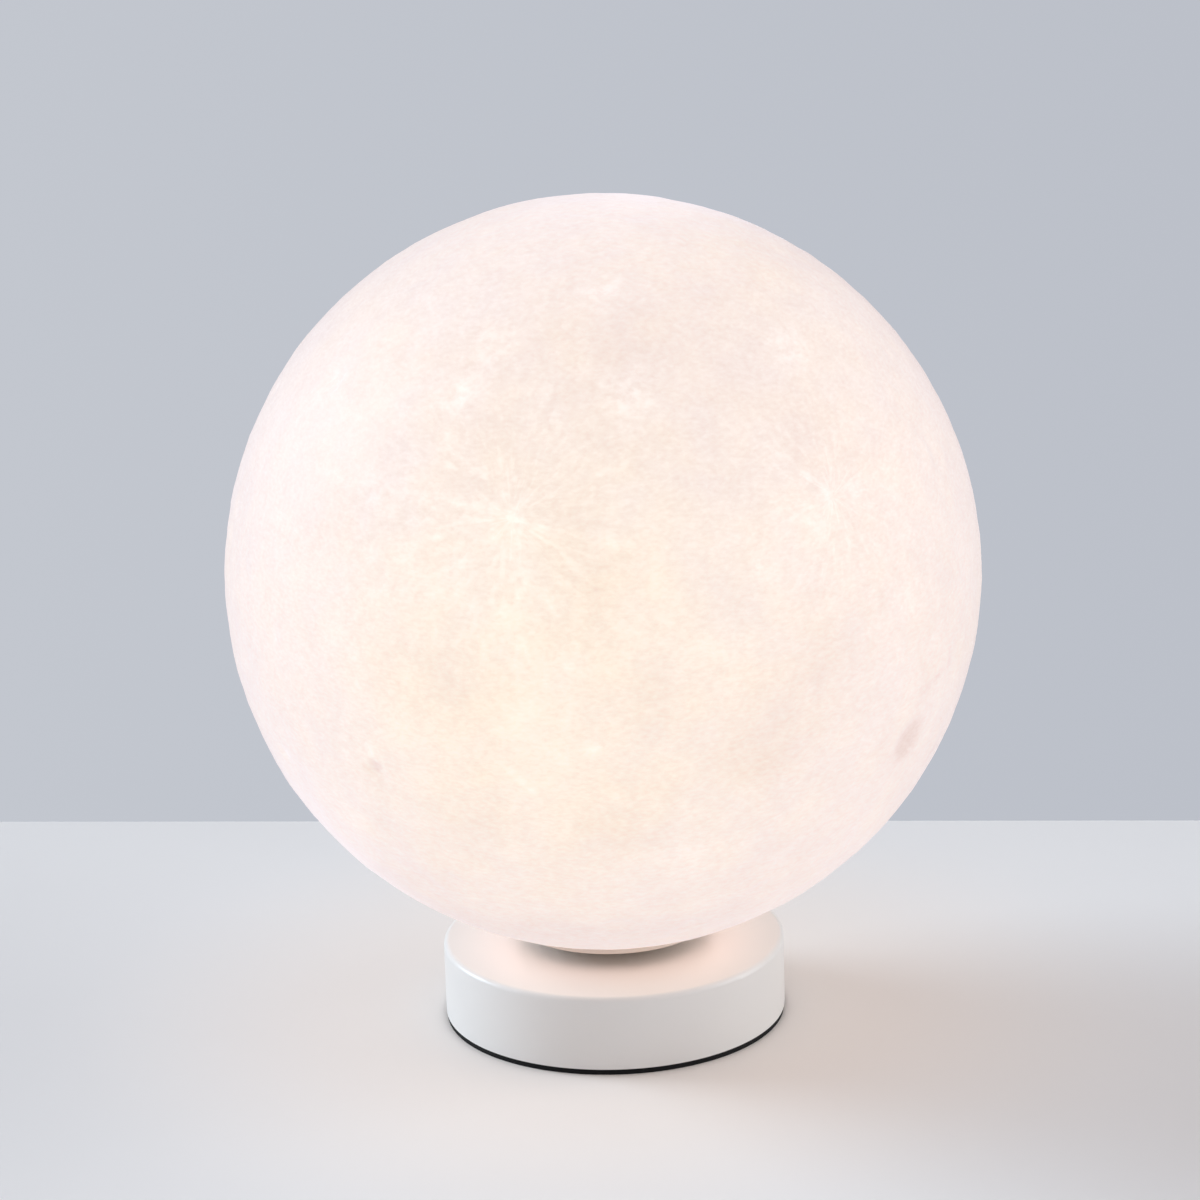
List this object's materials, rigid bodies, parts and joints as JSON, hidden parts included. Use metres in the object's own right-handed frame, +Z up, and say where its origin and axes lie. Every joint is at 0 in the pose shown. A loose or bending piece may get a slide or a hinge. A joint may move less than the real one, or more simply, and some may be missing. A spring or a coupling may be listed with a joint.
{
  "type": "moon lamp",
  "caption": "Hollow glowing moon globe that lifts off a low round weighted base with a screw-in bulb and lamp holder inside.",
  "frame": {"origin": "centre of the foot pad's lower face, on the surface that the lamp stands on", "axes": "+Z up along the axis of base and globe, -Y towards the front, with the cord inlet at the back on +Y, +X to the right"},
  "size_m": [0.25, 0.25, 0.2808],
  "materials": {
    "moon_print": "matt printed layers, lit from inside",
    "clear_silicone": "soft matt",
    "white_powder_coat": "satin powder coat",
    "spring_steel": "rolled strip",
    "black_bush": "turned acetal",
    "zinc_steel": "zinc plated",
    "cast_ballast": "raw casting",
    "black_foam": "closed-cell foam",
    "white_nylon": "moulded nylon",
    "contact_brass": "stamped brass",
    "tinned_copper": "tin plated",
    "brown_insulation": "extruded insulation",
    "blue_insulation": "extruded insulation",
    "green_insulation": "extruded insulation",
    "white_thermoset": "moulded thermoset",
    "nickel_cap": "nickel plated",
    "black_glass": "dark glass",
    "white_housing": "moulded satin",
    "frosted_dome": "frosted, lit from inside",
    "board_aluminium": "white solder mask",
    "led_phosphor": "phosphor",
    "green_board": "solder mask",
    "black_parts": "moulded"
  },
  "bodies": {
    "base": {"shade_plate": "white_powder_coat", "retaining_springs": "spring_steel", "spring_rivets": "spring_steel", "spacer_bush": "black_bush", "nipple": "zinc_steel", "nipple_lock_washer": "zinc_steel", "nipple_lock_nut": "zinc_steel", "base_cover": "white_powder_coat", "base_plate": "zinc_steel", "ballast_disc": "cast_ballast", "foot_pad": "black_foam", "base_standoffs": "zinc_steel", "base_plate_screws": "zinc_steel", "ballast_screws": "zinc_steel", "cable_gland": "white_nylon", "gland_nut": "white_nylon", "terminal_block": "white_nylon", "terminal_tubes": "contact_brass", "terminal_screws": "zinc_steel", "terminal_mount_screw": "zinc_steel", "earth_screw": "zinc_steel", "earth_ring_terminal": "tinned_copper", "live_wire": "brown_insulation", "neutral_wire": "blue_insulation", "earth_wire": "green_insulation", "holder_cap": "white_thermoset", "holder_insert": "white_thermoset", "holder_skirt": "white_thermoset", "threaded_sleeve": "contact_brass", "centre_contact": "contact_brass", "side_contact": "contact_brass", "holder_terminals": "contact_brass", "holder_terminal_screws": "zinc_steel"},
    "turning_ring": {"shade_gasket": "clear_silicone"},
    "moon_globe": {"moon_shell": "moon_print"},
    "bulb_tip": {"bulb_tip_contact": "nickel_cap"},
    "bulb": {"bulb_insulator": "black_glass", "bulb_cap": "nickel_cap", "bulb_housing": "white_housing", "bulb_diffuser": "frosted_dome", "bulb_led_board": "board_aluminium", "bulb_leds": "led_phosphor", "bulb_driver_board": "green_board", "bulb_driver_parts": "black_parts", "bulb_leads": "tinned_copper"}
  },
  "joints": [
    {"name": "globe_turn", "type": "hinge", "parent": "base", "child": "turning_ring", "pos_m": [0, 0, 0.0353], "axis": [0, 0, 1], "continuous": true},
    {"name": "globe_lift", "type": "slide", "parent": "turning_ring", "child": "moon_globe", "axis": [0, 0, 1], "range_m": [0, 0.16]},
    {"name": "bulb_rise", "type": "slide", "parent": "base", "child": "bulb_tip", "axis": [0, 0, 1], "range_m": [0, 0.0285]},
    {"name": "bulb_turn", "type": "hinge", "parent": "bulb_tip", "child": "bulb", "pos_m": [0, 0, 0.1], "axis": [0, 0, 1], "range_deg": [0, 2790]}
  ],
  "couplings": [
    {"joint": "bulb_rise", "follows": "bulb_turn", "m_per_rad": 0.00057773}
  ]
}
